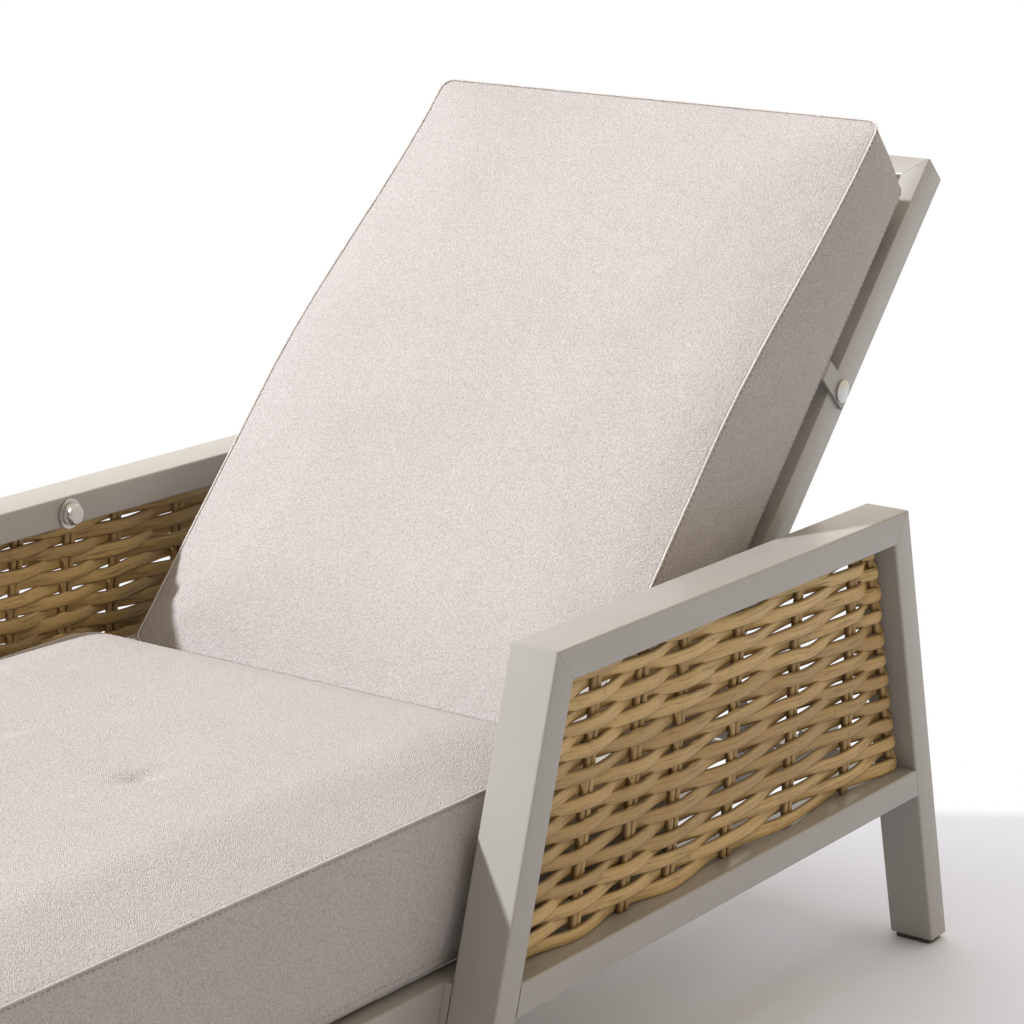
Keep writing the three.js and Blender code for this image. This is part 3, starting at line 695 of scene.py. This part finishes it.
def resample(path, spacing):
    """A closed path's points at even spacing."""
    closed = np.vstack([path, path[:1]])
    run = np.concatenate([[0], np.cumsum(np.linalg.norm(np.diff(closed, axis=0), axis=1))])
    places = np.linspace(0, run[-1], max(8, round(run[-1] / spacing)), endpoint=False)
    return np.stack([np.interp(places, run, closed[:, axis]) for axis in range(3)], axis=1)


PIPING_RADIUS = 1.1 * MM
PIPING_OUT = 0.5 * MM  # the piping stands off the seam by this much, and up by PIPING_LIFT
PIPING_LIFT = 0.7 * MM
PIPING_WOBBLE = 0.25 * MM
THREAD_RADIUS = 0.42 * MM
STITCH_PITCH = 7 * MM
STITCH_STEPS = 4  # steps along the seam for each stitch; the last two are its gap


def add_piping(cushion, material):
    """A thin piped welt on the upper seam."""
    path = resample(seam_paths(cushion)[0], 4 * MM)
    out, plane = outward(path)
    sweeps = Sweeps()
    wobble = np.array([noise.noise(Vector(p) * 90) for p in path])[:, None]
    path = path + out * (PIPING_OUT + PIPING_WOBBLE * wobble) + plane * PIPING_LIFT
    sweeps.add(path, plane, PIPING_RADIUS, PIPING_RADIUS, 8, True)
    piece = sweeps.piece(cushion.name + "_piping", material)
    store_cloth(piece)
    return piece


def add_stitching(cushion, material):
    """Thread beside the piping on the boxing, and on the lower seam."""
    sweeps = Sweeps()
    top, low = cushion.seam_rows()
    points = cushion.points()
    for row, lift in ((top - 1, 0.15 * MM), (low, 0.1 * MM)):
        path = resample(points[cushion.rim(row)], STITCH_PITCH / STITCH_STEPS)
        out, plane = outward(path)
        path = path + out * lift
        for start in range(0, len(path) - 3, STITCH_STEPS):
            stretch = path[start:start + 3]
            sweeps.add(stretch, plane, THREAD_RADIUS, THREAD_RADIUS, 6)
    piece = sweeps.piece(cushion.name + "_stitching", material)
    store_cloth(piece)
    return piece


def store_cloth(piece):
    cloth = piece.data.attributes.new("cloth", "FLOAT_VECTOR", "POINT")
    cloth.data.foreach_set("vector", read_points(piece.data).astype(np.float32).ravel())


def add_tuft_thread(cushion, material):
    """The tied thread at the bottom of each tuft."""
    points = cushion.points()
    sweeps = Sweeps()
    for x, y in TUFTS:
        nearest = np.argmin(np.hypot(points[:, 0] - x, points[:, 1] - y) + (points[:, 2] < SEAT_SEAM_Z))
        z = points[nearest, 2] + 1.2 * MM
        for turn in (0.1, 0.5):
            reach = Vector((math.cos(turn), math.sin(turn), 0)) * 3.2 * MM
            middle = Vector((x, y, z))
            path = [middle - reach - Vector((0, 0, 2 * MM)), middle, middle + reach - Vector((0, 0, 2 * MM))]
            sweeps.add([tuple(p) for p in path], (0, 0, 1), 0.6 * MM, 0.6 * MM, 6)
    piece = sweeps.piece(cushion.name + "_tuft_thread", material)
    store_cloth(piece)
    return piece


# the piping's light colour is partly its own pale tone and partly a painted highlight
piping_cloth = fabric_material("piping_fabric", PIPING, rgb(*[c * 0.9 for c in PIPING[:3]]))
thread = fabric_material("sewing_thread", rgb(0.40, 0.35, 0.30), rgb(0.30, 0.26, 0.22))


def seat_cushion():
    cushion = Cushion("seat_cushion_cover", SEAT_SEAM_HALF_WIDTH, SEAT_HALF_LENGTH, SEAT_THICKNESS,
                      seat_place, seam_height=16 * MM, bottom_round=13 * MM, corner_round=22 * MM,
                      bulge=7 * MM, crown=(14 * MM, 18 * MM))
    cushion.build(fabric)
    cushion.inflate(SEAT_PRESSURE, SEAT_CAP)
    ripple(cushion, 0.16, 2.2 * MM, (0, 0, 1))
    tuft_seat(cushion)
    press_seat(cushion)
    cushion.pucker(PUCKER)
    extras = [add_piping(cushion, piping_cloth), add_stitching(cushion, thread),
              add_tuft_thread(cushion, thread)]
    for piece in [cushion.piece, *extras]:
        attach(piece, "base")
    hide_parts("seat_cushion")


def back_cushion():
    cushion = Cushion("back_cushion_cover", BACK_HALF_WIDTH, BACK_HALF_LENGTH, BACK_FRONT - BACK_REAR,
                      back_place, seam_height=12 * MM, bottom_round=10 * MM, corner_round=13 * MM,
                      bulge=9 * MM, crown=(14 * MM, 6 * MM))
    cushion.build(fabric)
    cushion.inflate(BACK_PRESSURE, BACK_CAP)
    ripple(cushion, 0.15, 2 * MM, OFF_BACK)
    cushion.pucker(PUCKER)
    extras = [add_piping(cushion, piping_cloth), add_stitching(cushion, thread)]
    for piece in [cushion.piece, *extras]:
        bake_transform(piece)
    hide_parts("back_cushion")


# ---- woven panels ----
ROW_PITCH = 12 * MM
STRAND_ACROSS = 7.5 * MM  # half the width of a weaver
STRAND_THROUGH = 3.0 * MM  # half its thickness
WEAVE_DEPTH = 5.6 * MM  # how far a weaver swings to each side of the stakes
STAKE_RADIUS = 3.9 * MM
STAKE_GAP = 4.2 * MM  # each stake of a pair is this far from the pair's middle
MID_HEIGHT = 0.34
STAKES = (0.086, 0.1645, 0.2395, 0.341, 0.4555, 0.5675)  # Y of the pairs at MID_HEIGHT
STAKE_LEAN = 0.14  # of the foremost pair; those behind it lean less
ROW_WAVE = 3.2 * MM  # how far a row strays from its level
SLACK_WAVE = 2.5 * MM  # and how much further where the weave is slack, low in the panel
ROW_JITTER = 1.9 * MM
SLACK = 1.6
LOOSENESS = 0.12  # share by which a weaver's swing varies
STRAND_VARIATION = 0.16  # share by which its width varies along it
STRAND_SIDES = 12
STRAND_SQUARENESS = 0.85  # 1 is an oval, 0 a box
STAKE_SWAY = 1.3 * MM
STAKE_STEPS = 32
TURN_STEPS = 8
TURN_CLEARANCE = 2.5 * MM
REAR_TURN_GAP = 3 * MM
LEG_GAP = 1.5 * MM


class Panel:
    """One woven panel in an armrest frame. out is the direction that faces away from the seat."""

    def __init__(self, side):
        self.side = side
        self.low, self.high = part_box("wicker_panel_" + side)
        self.x = (self.low.x + self.high.x) / 2
        self.out = SIDES[side]
        self.random = random.Random(7 if side == "left" else 11)
        self.seed = self.random.uniform(0, 50)
        self.rows = int((self.high.z - self.low.z) / ROW_PITCH)

    def front(self, z):
        return self.low.y + (z - self.low.z) * LEG_LEAN - LEG_GAP

    def rear(self, z):
        return self.high.y - (z - self.low.z) * LEG_LEAN - REAR_TURN_GAP

    def stake(self, number, z):
        """Y of a pair of stakes at a height; the last number is the rear edge."""
        if number == len(STAKES):
            return self.rear(z) - STAKE_RADIUS
        lean = STAKE_LEAN * (1 - STAKES[number] / STAKES[-1])
        return STAKES[number] + lean * (z - MID_HEIGHT)

    def phase(self, y, z):
        """How many pairs of stakes lie in front of y, with fractions between pairs."""
        places = [self.stake(n, z) for n in range(len(STAKES) + 1)]
        places.insert(0, 2 * places[0] - places[1])
        return float(np.interp(y, places, range(len(places)))) - 1

    def row_height(self, row, y):
        share = (row + 0.5) / self.rows
        z = self.low.z + share * (self.high.z - self.low.z)
        wave = noise.noise(Vector((y * 7, row * 0.35, self.seed)))
        jitter = noise.noise(Vector((y * 22, row * 1.7, self.seed + 20)))
        slack = SLACK * (1 - share)
        edge = min(1, min(share, 1 - share) * self.rows / 1.5)
        return z + edge * (wave * (ROW_WAVE + SLACK_WAVE * slack) + jitter * ROW_JITTER)

    def weaver_point(self, row, y):
        z = self.row_height(row, y)
        swing = math.cos(math.pi * (self.phase(y, z) + row))
        loose = 1 + LOOSENESS * noise.noise(Vector((y * 15, row * 2.1, self.seed + 5)))
        return Vector((self.x + self.out * WEAVE_DEPTH * swing * loose, y, z))

    def weaver_row(self, row, step=5 * MM):
        z = self.row_height(row, 0.3)
        start, end = self.front(z), self.stake(len(STAKES), z)
        count = int((end - start) / step)
        return [self.weaver_point(row, start + (end - start) * n / count) for n in range(count + 1)]

    def turn(self, a, b):
        """The bend round the rear edge from one row's end to the next one's."""
        middle = (a + b) / 2
        points = []
        for n in range(1, TURN_STEPS):
            angle = math.pi * n / TURN_STEPS
            point = middle + (a - middle) * math.cos(angle)
            point.y = middle.y + (STAKE_RADIUS + TURN_CLEARANCE) * math.sin(angle)
            points.append(point)
        return points

    def weave(self):
        sweeps = Sweeps()
        for row in range(0, self.rows - 1, 2):
            there, back = self.weaver_row(row), self.weaver_row(row + 1)
            path = there + self.turn(there[-1], back[-1]) + back[::-1]
            points = np.array([tuple(p) for p in path])
            wide = np.array([noise.noise(p * 11 + Vector((row, 0, self.seed))) for p in path])
            twist = np.array([noise.noise(p * 9 + Vector((0, row, self.seed + 9))) for p in path])
            out = np.stack([np.full(len(path), self.out * 1.0), np.zeros(len(path)), 0.5 * twist], axis=1)
            size = self.random.uniform(0.94, 1.06)
            across = STRAND_ACROSS * size * (1 + STRAND_VARIATION * wide)
            sweeps.add(points, out, across, STRAND_THROUGH * size, STRAND_SIDES,
                       tone=self.random.random(), flat=STRAND_SQUARENESS)
        if self.rows % 2:
            path = np.array([tuple(p) for p in self.weaver_row(self.rows - 1)])
            sweeps.add(path, (self.out, 0, 0), STRAND_ACROSS, STRAND_THROUGH, STRAND_SIDES,
                       flat=STRAND_SQUARENESS)
        return sweeps.piece("weave_" + self.side, straw)

    def stakes(self):
        sweeps = Sweeps()
        for number in range(len(STAKES) + 1):
            edge = number == len(STAKES)
            for offset in ((0,) if edge else (-STAKE_GAP, STAKE_GAP)):
                path = []
                for n in range(STAKE_STEPS + 1):
                    z = self.low.z + (self.high.z - self.low.z) * n / STAKE_STEPS
                    y = self.stake(number, z) + offset
                    wave = noise.noise(Vector((number * 3 + offset * 900, z * 25, self.seed)))
                    sway = wave * STAKE_SWAY
                    path.append((self.x + sway, y + sway, z))
                sweeps.add(path, (self.out, 0, 0), STAKE_RADIUS, STAKE_RADIUS * 0.9, 10,
                           tone=self.random.uniform(0.1, 0.6))
        return sweeps.piece("stakes_" + self.side, straw)


def woven_panels():
    for side in SIDES:
        panel = Panel(side)
        weave, stakes = panel.weave(), panel.stakes()
        for piece in (weave, stakes):
            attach(piece, "base")
        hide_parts("wicker_panel_" + side)


# ---- stage ----
LIGHT_TRAVEL = Vector((1.0, 1.15, -1.35)).normalized()
BACKDROP_WAY = (-0.566, 0.824, 0.0)  # across the floor towards the white backdrop
BACKDROP_NEAR = 0.785
BACKDROP_FAR = 0.84
FLOOR_COLOUR = rgb(0.78, 0.80, 0.85)
WORLD_COLOUR = (1.03, 0.905, 0.735, 1.0)
WORLD_MEAN = 0.545
WORLD_LEAN = (0.12, 0.24, 0.22)  # brighter towards +X, +Y and above
GLOW_WAY = (-0.55, 0.80, 0.24)  # the backdrop, low over the floor behind the lounger
GLOW = 0.75
GLOW_EDGE = (0.78, 0.97)  # cosines of the angles from GLOW_WAY where the glow starts and is full
KEY_STRENGTH = 4.5
KEY_SPREAD = 3.0  # degrees
KEY_COLOUR = (0.985, 1.0, 1.035)
FLOOR_LIGHT = 1.6
FLOOR_LIGHT_SPREAD = 75.0
FLOOR_LIGHT_COLOUR = (0.72, 0.81, 1.07)
FLOOR_LIGHT_TRAVEL = Vector((0.45, 0.2, -1.0))
FLOOR_REACH = 60.0


def floor():
    shader = Shader("studio_floor", Roughness=0.9, Base_Color=FLOOR_COLOUR)
    place = shader.object_place()
    along = shader.node("VectorMath", {0: place, 1: BACKDROP_WAY}, operation="DOT_PRODUCT").outputs["Value"]
    uneven = shader.math("MULTIPLY", shader.noise(place, 9, 3), 0.02)
    along = shader.math("SUBTRACT", along, uneven)
    near = shader.math("MULTIPLY", shader.step(along, 0.55, 0.85), 0.2)
    away = shader.math("MAXIMUM", near, shader.step(along, BACKDROP_NEAR, BACKDROP_FAR))
    backdrop = shader.node("Emission", {"Color": rgb(1, 1, 1), "Strength": 1.0})
    mix = shader.node("MixShader", {0: away, 1: shader.surface.outputs[0], 2: backdrop.outputs[0]})
    output = shader.tree.nodes["Material Output"]
    shader.tree.links.new(mix.outputs[0], output.inputs["Surface"])
    corners = [(x * FLOOR_REACH, y * FLOOR_REACH, 0) for x, y in ((-1, -1), (1, -1), (1, 1), (-1, 1))]
    plane = add_piece("studio_floor", corners, [(0, 1, 2, 3)], shader.material, smooth=False)
    return plane


def world():
    made = bpy.data.worlds.new("studio")
    bpy.context.scene.world = made
    made.use_nodes = True
    tree = made.node_tree
    background = tree.nodes["Background"]
    place = tree.nodes.new("ShaderNodeTexCoord")
    lean = tree.nodes.new("ShaderNodeVectorMath")
    lean.operation = "DOT_PRODUCT"
    lean.inputs[1].default_value = WORLD_LEAN
    tree.links.new(place.outputs["Generated"], lean.inputs[0])
    total = tree.nodes.new("ShaderNodeMath")
    total.inputs[1].default_value = WORLD_MEAN
    tree.links.new(lean.outputs["Value"], total.inputs[0])
    tree.links.new(total.outputs[0], background.inputs["Strength"])
    background.inputs["Color"].default_value = WORLD_COLOUR
    towards = tree.nodes.new("ShaderNodeVectorMath")
    towards.operation = "DOT_PRODUCT"
    towards.inputs[1].default_value = GLOW_WAY
    tree.links.new(place.outputs["Generated"], towards.inputs[0])
    glow = tree.nodes.new("ShaderNodeMapRange")
    glow.interpolation_type = "SMOOTHSTEP"
    glow.inputs["From Min"].default_value, glow.inputs["From Max"].default_value = GLOW_EDGE
    glow.inputs["To Max"].default_value = GLOW
    tree.links.new(towards.outputs["Value"], glow.inputs["Value"])
    backdrop = tree.nodes.new("ShaderNodeBackground")
    tree.links.new(glow.outputs[0], backdrop.inputs["Strength"])
    both = tree.nodes.new("ShaderNodeAddShader")
    tree.links.new(background.outputs[0], both.inputs[0])
    tree.links.new(backdrop.outputs[0], both.inputs[1])
    tree.links.new(both.outputs[0], tree.nodes["World Output"].inputs["Surface"])


def sun_lamp(name, strength, spread, colour, travel, plane, state):
    """A distant lamp. Its light reaches only plane, or everything but plane."""
    sun = bpy.data.lights.new(name, "SUN")
    sun.energy = strength
    sun.angle = math.radians(spread)
    sun.color = colour
    lamp = bpy.data.objects.new(name, sun)
    lamp.rotation_mode = "QUATERNION"
    lamp.rotation_quaternion = travel.to_track_quat("-Z", "Y")
    bpy.context.scene.collection.objects.link(lamp)
    receivers = bpy.data.collections.new(name + "_receivers")
    receivers.objects.link(plane)
    receivers.collection_objects[0].light_linking.link_state = state
    lamp.light_linking.receiver_collection = receivers


def lights(plane):
    """The floor has a broad lamp of its own, so it shows only soft shadows."""
    sun_lamp("key", KEY_STRENGTH, KEY_SPREAD, KEY_COLOUR, LIGHT_TRAVEL, plane, "EXCLUDE")
    sun_lamp("floor_light", FLOOR_LIGHT, FLOOR_LIGHT_SPREAD, FLOOR_LIGHT_COLOUR,
             FLOOR_LIGHT_TRAVEL, plane, "INCLUDE")


CAMERA_PLACE = Vector((1.8323, -2.19591, 1.28790))
CAMERA_AZIMUTH = math.radians(34.504)
CAMERA_ELEVATION = math.radians(14.127)
CAMERA_ROLL = math.radians(1.061)
CAMERA_LENS = 113.25


def camera():
    a, e = CAMERA_AZIMUTH, CAMERA_ELEVATION
    back = Vector((math.sin(a) * math.cos(e), -math.cos(a) * math.cos(e), math.sin(e)))
    right = Vector((math.cos(a), math.sin(a), 0))
    up = back.cross(right)
    c, s = math.cos(CAMERA_ROLL), math.sin(CAMERA_ROLL)
    axes = Matrix((right * c + up * s, up * c - right * s, back)).transposed()
    data = bpy.data.cameras.new("camera")
    data.lens = CAMERA_LENS
    data.sensor_width = 36.0
    data.clip_end = 200.0
    made = bpy.data.objects.new("camera", data)
    made.matrix_world = Matrix.Translation(CAMERA_PLACE) @ axes.to_4x4()
    bpy.context.scene.collection.objects.link(made)
    bpy.context.scene.camera = made


camera()
finish_cad_nodes()
seat_cushion()
back_cushion()
woven_panels()
lights(floor())
world()
bpy.context.scene.view_settings.view_transform = "Standard"
